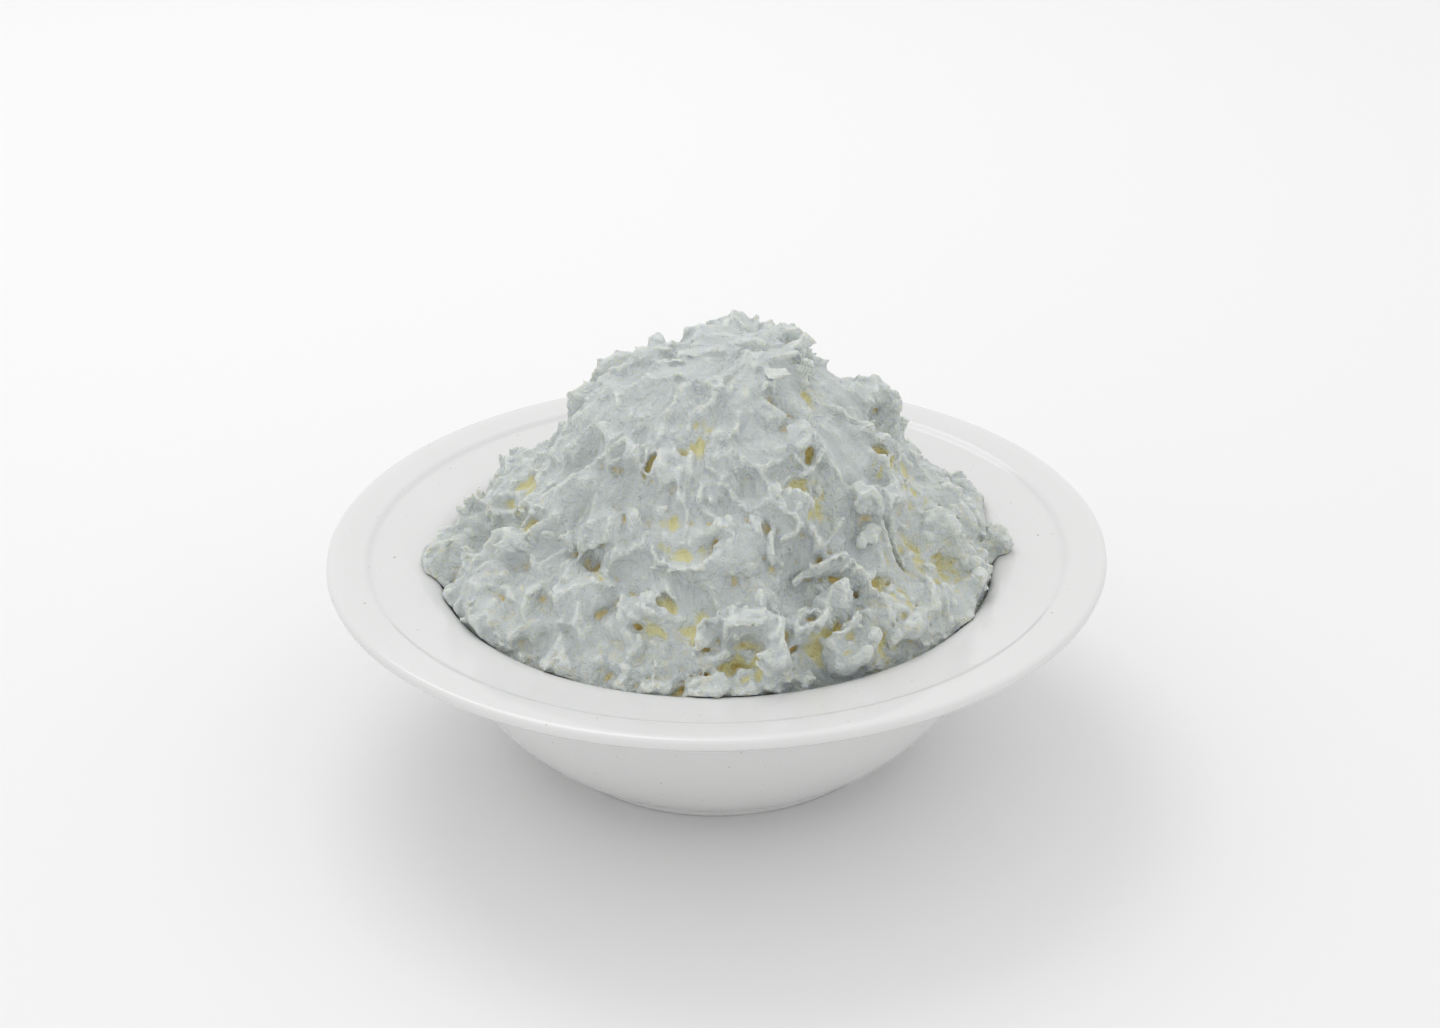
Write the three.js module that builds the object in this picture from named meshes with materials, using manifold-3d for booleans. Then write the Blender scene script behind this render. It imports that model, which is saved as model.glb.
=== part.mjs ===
// A bowl of labneh: a white round bowl with a wide rim, a stepped ring round the rim and a low foot,
// filled to its mouth and heaped high with thick strained yoghurt. The heap is lumps and flaps of
// yoghurt laid over a leaning mound, with hollows where a spoon swept it and a few deep holes.
// Millimetres, +Z up, the origin under the middle of the foot, and the front faces -Y.
import * as THREE from "three";
import { mergeVertices } from "three/addons/utils/BufferGeometryUtils.js";
import Module from "manifold-3d";

const wasm = await Module();
wasm.setup();

// Driving dimensions of the bowl
const RIM_RADIUS = 115;
const RIM_HEIGHT = 65;
const FOOT_RADIUS = 52.4;
const FOOT_WIDTH = 4;
const FOOT_RECESS = 2.6;
const BODY_FOOT = [54, 3.4]; // the outside of the body, as radius and height, where it leaves the foot
const BODY_TOP = [87.2, 52]; // where it turns out under the rim
const RIM_UNDER = [95, 58.1]; // where the rim's underside starts to run straight
const RING_RADIUS = 102; // the step in the rim
const RING_DROP = 2.1; // how far the rim is lower inside the step
const SHOULDER = [88.5, 61.2]; // where the rim turns down into the well
const WALL_TOP = [81.6, 56.5]; // the top of the well's wall
const FLOOR_RADIUS = 34;
const FLOOR_HEIGHT = 6.6; // the well's floor
const ROUND_STEPS = 48; // faces round every turned piece
const CURVE_STEPS = 8; // faces along the body's side, and along the well's wall
const BEND_STEPS = 4; // faces along a short bend
const GAP = 0.3; // between the labneh and the bowl

// Driving dimensions of the heap. Heights are over HEAP_BASE, and angles are in degrees round the
// heap from the front, positive towards +X.
const HEAP_BASE = 60;
const CELL = 3.9; // the spacing of the grid on which the heap is worked out
const GRID_HALF = 97;
const GRID_TOP = 138;
const TIERS = [
  // height, radius, shift of the middle towards +X
  [-6, 81.5, 0],
  [0, 80, 0.5],
  [4, 78.5, 0.5],
  [12, 71, 0.5],
  [20, 61, 0.5],
  [28, 54, 1.5],
  [36, 46.5, 2],
  [44, 40, 1],
  [52, 33.5, 1],
  [57, 26.5, 3.5],
  [61, 19, 7],
  [63.5, 13, 10.5],
  [65, 5, 11.5],
];
const LEAN_BACK = 5; // shift of the top away from the front
const LUMP_TOP = 62; // no scattered lump is higher
const SWEEP_TOP = 66; // no sweep is higher
const SWEEP_LEVEL = 2.2; // how deep the sweeps go on the whole
const SCARP = 0.25; // how much deeper a sweep is at its upper end
const SWEEP_REACH = 9; // how far in and out of the slope a dish is felt
const FOOT_LUMPS = 26;
const FOOT_LUMP_SIZES = [6, 8, 4.6];
const FOOT_TURN = -52; // the angle of the first lump along the foot
const COARSE_WARP = { spacing: 13, reach: 2.4, seed: 11 }; // what bends the lumps out of true
const FINE_WARP = { spacing: 5.5, reach: 1.4, seed: 21 };
const CRUMBLY = { spacing: 12, seed: 41, low: 3, high: 24, from: 0.3, to: 0.7 }; // labneh left unswept
const CRUMBLY_SIDE = { angle: 62, near: 8, far: 30, low: 25, high: 40 }; // and where it is so higher up
const CRUMBLY_SHARE = 0.5; // how much less the sweeps sink into crumbly labneh
const MARK_MARGIN = 6; // how far past its own size a mark is felt
const TOUCH = -0.02; // the field at a grid point that has been filled

const radians = THREE.MathUtils.degToRad;

// A seeded draw from 0 to 1 for three whole numbers
function draw(i, j, k, seed) {
  let h =
    Math.imul(i, 73856093) ^ Math.imul(j, 19349663) ^ Math.imul(k, 83492791) ^ Math.imul(seed, 2654435761);
  h = Math.imul(h ^ (h >>> 16), 0x7feb352d);
  h = Math.imul(h ^ (h >>> 15), 0x846ca68b);
  return ((h ^ (h >>> 16)) >>> 0) / 4294967296;
}

// The four weights of a cubic B-spline at t between two lattice points
function splineWeights(t) {
  const s = 1 - t;
  return [(s * s * s) / 6, (3 * t * t * (t - 2) + 4) / 6, (3 * s * s * (s - 2) + 4) / 6, (t * t * t) / 6];
}

// Smooth noise from about -1.5 to 1.5: seeded draws on a lattice, joined by B-splines
function noise(x, y, z, spacing, seed) {
  const at = [x / spacing, y / spacing, z / spacing];
  const low = at.map(Math.floor);
  const [wx, wy, wz] = at.map((value, axis) => splineWeights(value - low[axis]));
  let sum = 0;
  for (let i = 0; i < 4; i++)
    for (let j = 0; j < 4; j++)
      for (let k = 0; k < 4; k++) {
        const value = draw(low[0] + i - 1, low[1] + j - 1, low[2] + k - 1, seed) * 2 - 1;
        sum += wx[i] * wy[j] * wz[k] * value;
      }
  return sum * 3;
}

// The mound under the lumps: its middle and radius at a height over HEAP_BASE
function tierAt(height) {
  const h = THREE.MathUtils.clamp(height, TIERS[0][0], TIERS.at(-1)[0]);
  const i = Math.min(
    TIERS.findLastIndex((tier) => tier[0] <= h),
    TIERS.length - 2,
  );
  const [low, high] = [TIERS[i], TIERS[i + 1]];
  const t = (h - low[0]) / (high[0] - low[0]);
  const slope = (high[1] - low[1]) / (high[0] - low[0]);
  return {
    x: THREE.MathUtils.lerp(low[2], high[2], t),
    y: (LEAN_BACK * Math.max(h, 0)) / TIERS.at(-1)[0],
    radius: THREE.MathUtils.lerp(low[1], high[1], t),
    slope,
    over: height - h,
  };
}

// Roughly how far a point is outside the mound
function moundDistance(x, y, z) {
  const tier = tierAt(z - HEAP_BASE);
  const outside = Math.hypot(x - tier.x, y - tier.y) - tier.radius;
  const flat = outside / Math.hypot(1, tier.slope);
  if (tier.over > 0) return Math.max(outside, tier.over);
  return tier.over < 0 ? flat + tier.over : flat;
}

// One mark on the mound: an ellipsoid set on it at an angle round it and a height. Its sizes are half
// lengths: along the fall of the slope, across it and out of it. turn swings its lower end towards +X,
// tilt lifts that end, lift moves the mark out of the slope, and depth is how deep a sweep goes.
function ellipsoid(kind, angle, height, sizes, more = {}) {
  const { turn = 0, tilt = 0, lift = 0, blend = 1.2, depth = 0 } = more;
  const tier = tierAt(height);
  const [s, c] = [Math.sin(radians(angle)), Math.cos(radians(angle))];
  const normal = new THREE.Vector3(s, -c, -tier.slope).normalize();
  const level = new THREE.Vector3(c, s, 0);
  const fall = level.clone().cross(normal);
  const down = swung(fall, level, turn);
  const across = swung(level, fall, -turn);
  const along = swung(down, normal, tilt);
  const out = swung(normal, down, -tilt);
  const centre = new THREE.Vector3(tier.x, tier.y, HEAP_BASE + height);
  centre.add(new THREE.Vector3(tier.radius * s, -tier.radius * c, 0)).addScaledVector(normal, lift);
  return { kind, centre, axes: [along, across, out], sizes, blend, depth };
}

// One direction turned by degrees towards another that is square to it
function swung(from, to, degrees) {
  const kept = from.clone().multiplyScalar(Math.cos(radians(degrees)));
  return kept.addScaledVector(to, Math.sin(radians(degrees)));
}

// Marks in tiers all round the mound up to a height, each one drawn a little differently
function scatter(kind, top, { first, rise, apart, seed, sizes, spread = 0.6, ...more }) {
  const { tilt = [0, 0], lift = [0, 0], turn = 0, flow = 0, depth = 0 } = more;
  const marks = [];
  for (let tier = 0; first + tier * rise <= top; tier++) {
    const middle = first + tier * rise;
    const count = Math.max(1, Math.round((2 * Math.PI * tierAt(middle).radius) / apart));
    for (let i = 0; i < count; i++) {
      const d = (k) => draw(tier, i, k, seed);
      const angle = (360 * (i + 0.5 * tier + 0.8 * (d(0) - 0.5))) / count;
      const height = middle + rise * 0.8 * (d(2) - 0.5);
      const size = 1 - spread / 2 + spread * d(1);
      const shape = sizes.map((value, n) => size * value * (0.8 + 0.4 * d(6 + n)));
      const mark = ellipsoid(kind, angle, height, shape, {
        turn: flow * Math.sin(radians(3 * angle + 5 * height)) + turn * (2 * d(3) - 1),
        tilt: THREE.MathUtils.lerp(...tilt, d(4)),
        lift: shape[2] * THREE.MathUtils.lerp(...lift, d(5)),
        blend: 0.8,
        depth: depth * size,
      });
      marks.push(mark);
    }
  }
  return marks;
}

// Lumps laid all round the mound, like shingles
const scatteredLumps = () =>
  scatter("add", LUMP_TOP, {
    first: 1,
    rise: 7,
    apart: 12,
    seed: 5,
    sizes: [7, 6.5, 3.6],
    tilt: [5, 22],
    lift: [-1, -0.7],
    turn: 70,
  });

// Where the spoon swept the heap
const sweeps = () =>
  scatter("sweep", SWEEP_TOP, {
    first: 3,
    rise: 6,
    apart: 10,
    seed: 6,
    sizes: [9, 6.5, 9],
    turn: 25,
    flow: 25,
    spread: 0.8,
    depth: 3.4,
  });

// Lumps along the foot of the heap, with gaps between them where the bowl shows
function footLumps() {
  const lumps = [];
  for (let i = 0; i < FOOT_LUMPS; i++) {
    const d = (k) => draw(i, 0, k, 7);
    const size = 0.6 + 0.6 * d(1);
    const sizes = FOOT_LUMP_SIZES.map((value) => size * value);
    const angle = (360 * (i + 0.7 * (d(0) - 0.5))) / FOOT_LUMPS + FOOT_TURN;
    const lump = ellipsoid("add", angle, 4 * d(2) - 0.5, sizes, {
      turn: 40 * (d(5) - 0.5),
      tilt: 20 * d(3),
      lift: FOOT_LUMP_SIZES[2] * (0.7 * d(4) - 0.6),
      blend: 0.8,
    });
    lumps.push(lump);
  }
  return lumps;
}

// The marks that show from the front, placed one by one
function placedMarks() {
  const add = (...values) => ellipsoid("add", ...values);
  const cut = (...values) => ellipsoid("cut", ...values);
  const dish = (angle, height, length, width, depth, turn = 0) =>
    ellipsoid("sweep", angle, height, [length, width, SWEEP_REACH], { turn, depth });
  return [
    // The peak: a smooth slab on the right, crumbs on the left and a dark recess between them
    add(84, 62.5, [9, 6.5, 3.6], { tilt: 12, lift: 0.8, blend: 2 }),
    add(-80, 64, [3.6, 4, 2], { lift: -1.4 }),
    add(-110, 58.5, [7, 8, 3.6], { lift: -1.2, blend: 2 }),
    cut(5, 65, [4, 7, 4], { lift: 2.2 }),
    // Shoulders on the skyline
    add(-118, 49, [9, 8, 6], { lift: -0.5 }),
    add(-95, 46, [7, 7, 5], { lift: -0.8 }),
    add(100, 44, [8, 7, 6], { lift: 1 }),
    add(100, 37, [4.5, 4, 5], { lift: 2.5, blend: 2 }),
    add(98, 31, [7, 6, 4], { lift: -1 }),
    // The dishes under the peak
    dish(-52, 62, 9, 6, 3),
    dish(-25, 63, 9, 6.5, 3),
    dish(-5, 58.5, 6, 8, 3.2),
    dish(15, 56, 12, 8.5, 3.4, 8),
    dish(-54, 53, 8, 12, 3.2, -10),
    dish(46, 59.5, 12, 6, 3, 12),
    // The long trough down the right, with a crest on each side
    add(41, 43.5, [16, 3.4, 3.6], { turn: 26, lift: -0.4, blend: 1 }),
    dish(53, 39, 26, 9.5, 4.2, 20),
    add(76, 40, [17, 3.4, 3.6], { turn: 14, blend: 1 }),
    dish(87, 37.5, 15, 6, 3, 10),
    // The hollow and the hole left of the middle, and the crack under it
    cut(-18, 53.5, [6, 3.8, 4], { turn: -18, lift: 1.3, blend: 0.6 }),
    add(-22, 45, [7.5, 8, 4], { tilt: 12, lift: -0.6 }),
    cut(-30, 44, [3.2, 1.9, 5], { lift: 0.8, blend: 0.5 }),
    dish(4, 45.5, 6, 9, 3),
    cut(35, 45.5, [3.4, 1.4, 4], { lift: 1, blend: 0.5 }),
    // Smooth faces and steps on the left
    add(-47, 45.5, [5, 12, 3.8], { turn: -4, tilt: 20, lift: -0.6 }),
    add(-57, 32, [16, 9, 4.4], { turn: -14, tilt: 4, lift: -0.6 }),
    dish(-56, 32, 15, 8, 2.6, -14),
    dish(-40, 37, 9, 7.5, 3.4, -20),
    add(-39, 27.5, [10, 9, 4], { tilt: 10, lift: -0.6 }),
    dish(-22, 34, 9, 9.5, 3.4),
    dish(-14, 29, 11, 7, 3.4, 16),
    cut(-73, 20.5, [4, 4.5, 4], { lift: 1.4, blend: 0.6 }),
    cut(-88, 24, [4.4, 5, 4], { lift: 1.4, blend: 0.6 }),
    add(-62, 17, [7, 8, 5], { tilt: 14 }),
    add(-83, 13, [6, 7, 5], { tilt: 10 }),
    cut(-35, 21, [2.2, 2, 8], { blend: 0.4 }),
    // The fan of crests in the middle and the smooth dish beside it
    add(20, 36, [5, 7, 4], { lift: 0.6 }),
    ...[-26, -8, 11, 30].map((turn, i) =>
      add(8.5 + 5.2 * i, 31, [13, 1.7, 3], { turn, lift: 0.8, blend: 1.4 }),
    ),
    add(4, 27, [11, 8, 4.4], { tilt: 6, lift: -0.6 }),
    dish(5, 23.5, 8.5, 7, 2.8),
    // The ledge that hangs out on the right and the hollow under it
    add(29, 20.5, [5, 10.5, 4], { turn: 6, tilt: 24, lift: 2 }),
    cut(28, 14.5, [2.6, 8, 4.5], { lift: 1.6, blend: 0.6 }),
    add(53, 28, [4, 13, 4], { turn: -4, tilt: 20, lift: 0.8 }),
    add(44, 23.5, [5, 6, 4], { tilt: 10, lift: 0.5 }),
    // The cave, the crack and the yellow hollows on the right
    cut(56, 19, [5.4, 2.4, 8], { blend: 0.6 }),
    dish(47, 14.5, 6, 8.5, 3),
    cut(40, 15.5, [1.2, 6, 5], { turn: 12, blend: 0.4 }),
    dish(67, 11, 7, 7, 3),
    cut(80, 28.5, [4.2, 4.4, 4], { lift: 1.2, blend: 0.6 }),
    add(87, 17, [6, 8, 4.4], { tilt: 16, lift: -1 }),
    add(72, 15, [4.4, 9, 4.4], { tilt: 10, lift: 0.4 }),
    // The smooth slope on the left and the steps under it
    add(-63, 7, [12, 13, 5], { lift: -2 }),
    dish(-62, 8.5, 13, 13, 2.4),
    cut(-44, 10, [3.4, 1.8, 4], { lift: 1.4, blend: 0.6 }),
    add(-34, 15, [11, 12, 5], { tilt: 8, lift: -1.6 }),
    add(-18, 15, [6, 10, 4], { tilt: 14, lift: -0.2 }),
    cut(-13, 16.5, [2.6, 4.5, 4], { lift: 1.6, blend: 0.6 }),
    // The lumps that stand out over the middle of the front
    add(6, 12, [6, 7.5, 5], { tilt: 12, lift: 1.6 }),
    add(10, 9.5, [5, 6, 4.6], { tilt: 14, lift: 2.2 }),
    add(-3, 12, [6, 5, 4], { lift: 0.4 }),
    add(12, 6, [6.5, 5, 5], { tilt: 10, lift: 1.8 }),
    add(19, 10.5, [5, 6, 5], { tilt: 12, lift: 0.8 }),
    cut(4, 5.5, [2, 6, 4.5], { lift: 1.6, blend: 0.5 }),
    add(26, 13.5, [5, 8, 4], { tilt: 12, lift: -0.4 }),
    cut(23, 9, [2, 7, 5], { lift: 2, blend: 0.5 }),
    // Slabs laid side by side low on the right
    add(27, 5, [6.5, 10, 4.5], { turn: 24, tilt: 12, lift: 0.2 }),
    add(34, 7.5, [4, 13, 4], { turn: 14, tilt: 12, lift: 0.2 }),
    add(42, 5, [4, 10, 4], { turn: 10, tilt: 14 }),
    add(51, 8, [4.4, 10, 4.2], { turn: 8, tilt: 12 }),
    add(60, 5, [8, 8, 5], { tilt: 8, lift: -1 }),
    add(66, 4, [4.4, 7, 4.4]),
    add(90, 1, [5, 5.5, 4], { lift: 3 }),
  ];
}

// The heap's field on a grid of points: negative inside the labneh
function heapField() {
  const size = Math.ceil((2 * GRID_HALF) / CELL) + 1;
  const levels = Math.ceil(GRID_TOP / CELL) + 1;
  const field = new Float64Array(size * size * levels);
  const sunk = new Float64Array(field.length);
  const warped = new Float64Array(3 * field.length);
  const index = (i, j, k) => i + size * (j + size * k);
  const place = (i, j, k) => [i * CELL - GRID_HALF, j * CELL - GRID_HALF, k * CELL];
  const grid = { size, levels, field, sunk, warped, index, place };
  everyPoint(grid, (n, i, j, k) => {
    const point = place(i, j, k);
    for (let axis = 0; axis < 3; axis++) {
      warped[3 * n + axis] = point[axis];
      for (const { spacing, reach, seed } of [COARSE_WARP, FINE_WARP])
        warped[3 * n + axis] += reach * noise(...point, spacing, seed + axis);
    }
    field[n] = moundDistance(...warped.subarray(3 * n, 3 * n + 3));
  });
  const marks = [...scatteredLumps(), ...footLumps(), ...placedMarks(), ...sweeps()];
  marks.forEach((mark) => carve(mark, grid));
  const edge = (value, last) => value === 0 || value === last;
  everyPoint(grid, (n, i, j, k) => {
    field[n] += (sunk[n] - SWEEP_LEVEL) * (1 - CRUMBLY_SHARE * crumbliness(...place(i, j, k)));
    const atEdge = edge(i, size - 1) || edge(j, size - 1) || edge(k, levels - 1);
    if (atEdge) field[n] = Math.max(field[n], CELL / 2);
  });
  return grid;
}

function everyPoint({ size, levels, index }, visit) {
  for (let k = 0; k < levels; k++)
    for (let j = 0; j < size; j++) for (let i = 0; i < size; i++) visit(index(i, j, k), i, j, k);
}

// How crumbly the labneh is at a point, from 0, swept smooth, to 1
function crumbliness(x, y, z) {
  const { smoothstep, radToDeg } = THREE.MathUtils;
  const height = z - HEAP_BASE;
  const angle = radToDeg(Math.atan2(x - 3, 2 - y));
  const patch = 0.5 * noise(x, y, z, CRUMBLY.spacing, CRUMBLY.seed);
  const low = 0.7 * (1 - smoothstep(height, CRUMBLY.low, CRUMBLY.high));
  const { near, far, ...side } = CRUMBLY_SIDE;
  const beside = 1 - smoothstep(Math.abs(angle - side.angle), near, far);
  const aside = 0.5 * beside * (1 - smoothstep(height, side.low, side.high));
  return smoothstep(patch + low + aside, CRUMBLY.from, CRUMBLY.to);
}

// Adds one lump to the field, cuts one hollow out of it, with a small round where they meet, or sinks
// one sweep, with a crest left between sweeps
function carve({ kind, centre, axes, sizes, blend, depth }, grid) {
  const { size, levels, field, sunk, warped, index } = grid;
  const reach = Math.max(...sizes) + MARK_MARGIN;
  const range = (value, offset, count) => [
    Math.max(0, Math.floor((value + offset - reach) / CELL)),
    Math.min(count - 1, Math.ceil((value + offset + reach) / CELL)),
  ];
  const [i0, i1] = range(centre.x, GRID_HALF, size);
  const [j0, j1] = range(centre.y, GRID_HALF, size);
  const [k0, k1] = range(centre.z, 0, levels);
  const point = new THREE.Vector3();
  for (let k = k0; k <= k1; k++)
    for (let j = j0; j <= j1; j++)
      for (let i = i0; i <= i1; i++) {
        const n = index(i, j, k);
        point.fromArray(warped, 3 * n).sub(centre);
        const scaled = axes.map((axis, a) => point.dot(axis) / sizes[a]);
        const near = Math.hypot(...scaled);
        if (kind === "sweep") {
          const along = THREE.MathUtils.clamp(scaled[0], -1, 1);
          sunk[n] = Math.max(sunk[n], depth * (1 - near * near) * (1 - SCARP * along));
          continue;
        }
        const steep = Math.hypot(...scaled.map((value, a) => value / sizes[a])) + 1e-9;
        const distance = Math.max((near * (near - 1)) / steep, -Math.min(...sizes));
        const other = kind === "add" ? distance : -distance;
        const round = Math.max(blend - Math.abs(field[n] - other), 0) ** 2 / (4 * blend);
        if (kind === "add") field[n] = Math.min(field[n], other) - round;
        else field[n] = Math.max(field[n], other) + round;
      }
}

// Fills the grid points that would make the surface touch itself along an edge or at a corner
function mendTouching({ size, levels, field, index }) {
  const corner = (n) => [n & 1, (n >> 1) & 1, (n >> 2) & 1];
  const joined = (mask) => {
    const members = [...Array(8).keys()].filter((n) => (mask >> n) & 1);
    if (!members.length) return true;
    const reached = new Set([members[0]]);
    for (const n of reached) {
      const beside = [1, 2, 4].map((bit) => n ^ bit);
      beside.filter((m) => (mask >> m) & 1).forEach((m) => reached.add(m));
    }
    return reached.size === members.length;
  };
  const sound = [...Array(256).keys()].map((mask) => joined(mask) && joined(255 - mask));
  for (let changed = true; changed; ) {
    changed = false;
    for (let k = 0; k < levels - 1; k++)
      for (let j = 0; j < size - 1; j++)
        for (let i = 0; i < size - 1; i++) {
          const cells = [...Array(8).keys()].map((n) => {
            const [a, b, c] = corner(n);
            return index(i + a, j + b, k + c);
          });
          const mask = cells.reduce((sum, cell, n) => sum + (field[cell] < 0 ? 1 << n : 0), 0);
          if (sound[mask]) continue;
          const outside = cells.filter((cell) => field[cell] >= 0);
          const nearest = outside.reduce((a, b) => (field[a] < field[b] ? a : b));
          field[nearest] = TOUCH;
          changed = true;
        }
  }
}

const QUAD_CORNERS = [
  [0, 0],
  [1, 0],
  [1, 1],
  [0, 1],
];

// A closed mesh round the field's inside: one vertex in each cell that the surface crosses, at the
// mean of its crossings, and one quad for each grid edge that it crosses
function surfaceNet({ size, levels, field, index, place }) {
  const positions = [];
  const vertexOf = new Map();
  const steps = [
    [1, 0, 0],
    [0, 1, 0],
    [0, 0, 1],
  ];
  const vertexAt = (i, j, k) => {
    const key = index(i, j, k);
    if (vertexOf.has(key)) return vertexOf.get(key);
    const sum = new THREE.Vector3();
    let crossings = 0;
    for (let a = 0; a < 3; a++)
      for (let n = 0; n < 4; n++) {
        const from = [i, j, k];
        from[(a + 1) % 3] += n & 1;
        from[(a + 2) % 3] += n >> 1;
        const to = from.map((value, axis) => value + steps[a][axis]);
        const [u, v] = [field[index(...from)], field[index(...to)]];
        if (u < 0 === v < 0) continue;
        const [p, q] = [new THREE.Vector3(...place(...from)), new THREE.Vector3(...place(...to))];
        sum.add(p.lerp(q, u / (u - v)));
        crossings++;
      }
    positions.push(...sum.divideScalar(crossings).toArray());
    vertexOf.set(key, positions.length / 3 - 1);
    return positions.length / 3 - 1;
  };
  const triangles = [];
  for (let k = 0; k < levels - 1; k++)
    for (let j = 0; j < size - 1; j++)
      for (let i = 0; i < size - 1; i++)
        steps.forEach(([di, dj, dk], a) => {
          const inside = field[index(i, j, k)] < 0;
          if (inside === field[index(i + di, j + dj, k + dk)] < 0) return;
          const [b, c] = [steps[(a + 1) % 3], steps[(a + 2) % 3]];
          const quad = QUAD_CORNERS.map(([m, n]) => {
            const [x, y, z] = [i, j, k].map((value, axis) => value - m * b[axis] - n * c[axis]);
            return vertexAt(x, y, z);
          });
          if (!inside) quad.reverse();
          triangles.push(...splitQuad(quad, positions));
        });
  return { positions, triangles };
}

// Two triangles for a quad, along its shorter diagonal
function splitQuad([a, b, c, d], positions) {
  const apart = (m, n) => {
    const p = new THREE.Vector3().fromArray(positions, 3 * m);
    return p.distanceTo(new THREE.Vector3().fromArray(positions, 3 * n));
  };
  return apart(a, c) < apart(b, d) ? [a, b, c, a, c, d] : [a, b, d, b, c, d];
}

// The outline of the bowl's cut half, from the middle of its underside round to the middle of its floor,
// as radii and heights. Its curves are Bezier curves with these corners.
function bend(corners, steps) {
  const points = corners.map(([r, z]) => new THREE.Vector2(r, z));
  const Curve = corners.length === 4 ? THREE.CubicBezierCurve : THREE.QuadraticBezierCurve;
  return new Curve(...points).getPoints(steps).map((point) => point.toArray());
}

function wellOutline() {
  const [wallRadius, wallHeight] = WALL_TOP;
  const shoulder = bend([SHOULDER, [wallRadius + 1, wallHeight + 3.8], WALL_TOP], BEND_STEPS);
  const floorEdge = [FLOOR_RADIUS, FLOOR_HEIGHT];
  const wall = bend([WALL_TOP, [79, 33], [66, FLOOR_HEIGHT], floorEdge], CURVE_STEPS);
  return [[RING_RADIUS - 6, RIM_HEIGHT - 2.8], ...shoulder, ...wall.slice(1), [0, FLOOR_HEIGHT]];
}

function bowlOutline() {
  const foot = [
    [0, FOOT_RECESS],
    [FOOT_RADIUS - FOOT_WIDTH - 1.6, FOOT_RECESS],
    [FOOT_RADIUS - FOOT_WIDTH, 0],
    [FOOT_RADIUS - 0.5, 0],
    [FOOT_RADIUS + 0.3, 2.6],
  ];
  const body = bend([BODY_FOOT, [68, 11], [83, 31], BODY_TOP], CURVE_STEPS);
  const turnOut = bend([BODY_TOP, [88.6, 57.6], RIM_UNDER], BEND_STEPS - 1);
  const lip = [
    [RIM_RADIUS - 2.4, RIM_HEIGHT - 3.8],
    [RIM_RADIUS - 0.6, RIM_HEIGHT - 2.9],
    [RIM_RADIUS, RIM_HEIGHT - 1.7],
    [RIM_RADIUS - 0.5, RIM_HEIGHT - 0.5],
    [RIM_RADIUS - 1.8, RIM_HEIGHT],
  ];
  const ring = [
    [RING_RADIUS + 2.4, RIM_HEIGHT - 0.95],
    [RING_RADIUS, RIM_HEIGHT - RING_DROP],
  ];
  return [...foot, ...body, ...turnOut.slice(1), ...lip, ...ring, ...wellOutline()];
}

// A turned piece about the Z axis
function turned(outline) {
  const points = outline.map(([r, z]) => new THREE.Vector2(r, z));
  return new THREE.LatheGeometry(points, ROUND_STEPS).rotateX(Math.PI / 2);
}

// An outline moved into the well, away from the bowl, by a distance
function inset(outline, distance) {
  return outline.map(([r, z], i) => {
    if (r === 0) return [0, z + distance];
    const [before, after] = [outline[Math.max(i - 1, 0)], outline[i + 1]];
    const [dr, dz] = [after[0] - before[0], after[1] - before[1]];
    const length = Math.hypot(dr, dz);
    return [r + (distance * dz) / length, z - (distance * dr) / length];
  });
}

// The room that the labneh may fill: the well, and all that is over the rim
function roomOutline() {
  const well = inset(wellOutline(), GAP).reverse();
  const over = [
    [GRID_HALF, RIM_HEIGHT - 2.4],
    [GRID_HALF, GRID_TOP + 2],
    [0, GRID_TOP + 2],
  ];
  return [...well, ...over];
}

function solidOf(positions, triangles) {
  const mesh = new wasm.Mesh({
    numProp: 3,
    vertProperties: Float32Array.from(positions),
    triVerts: Uint32Array.from(triangles),
  });
  return new wasm.Manifold(mesh);
}

function solidOfGeometry(geometry) {
  const bare = geometry.clone();
  bare.deleteAttribute("normal");
  bare.deleteAttribute("uv");
  const merged = mergeVertices(bare, 1e-4);
  return solidOf(merged.attributes.position.array, merged.index.array);
}

function geometryOf(solid) {
  const { vertProperties, triVerts } = solid.getMesh();
  const geometry = new THREE.BufferGeometry();
  geometry.setAttribute("position", new THREE.BufferAttribute(vertProperties, 3));
  geometry.setIndex(new THREE.BufferAttribute(triVerts, 1));
  geometry.computeVertexNormals();
  return geometry;
}

// The largest of the separate bodies of a solid: loose scraps are left out
function largest(solid) {
  return solid.decompose().reduce((a, b) => (a.volume() > b.volume() ? a : b));
}

function labnehGeometry() {
  const grid = heapField();
  mendTouching(grid);
  const net = surfaceNet(grid);
  const heap = largest(solidOf(net.positions, net.triangles));
  const room = solidOfGeometry(turned(roomOutline()));
  return geometryOf(largest(heap.intersect(room)));
}

const glaze = new THREE.MeshStandardMaterial({ color: 0xf4f4f3, roughness: 0.12, metalness: 0 });
const yoghurt = new THREE.MeshStandardMaterial({ color: 0xe9eae0, roughness: 0.6, metalness: 0 });

const bowl = new THREE.Mesh(turned(bowlOutline()), glaze);
bowl.name = "bowl";
const labneh = new THREE.Mesh(labnehGeometry(), yoghurt);
labneh.name = "labneh";

const group = new THREE.Group();
group.add(bowl, labneh);

export default group;
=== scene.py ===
"""A bowl of labneh: a glazed white bowl with a wide rim, heaped with thick strained yoghurt.

Sizes are in millimetres and become metres when a mesh is made. +Z is up and the front faces -Y.
The heap has the solid's mound and scattered lumps, and nearly its placed marks, on a finer grid. Finer
marks come on top: small sweeps of the spoon, streaks, ragged crests, crumbs and pits.
"""

from math import comb, cos, pi, radians, sin

import bpy
import numpy as np
from mathutils import Matrix, Vector


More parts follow.
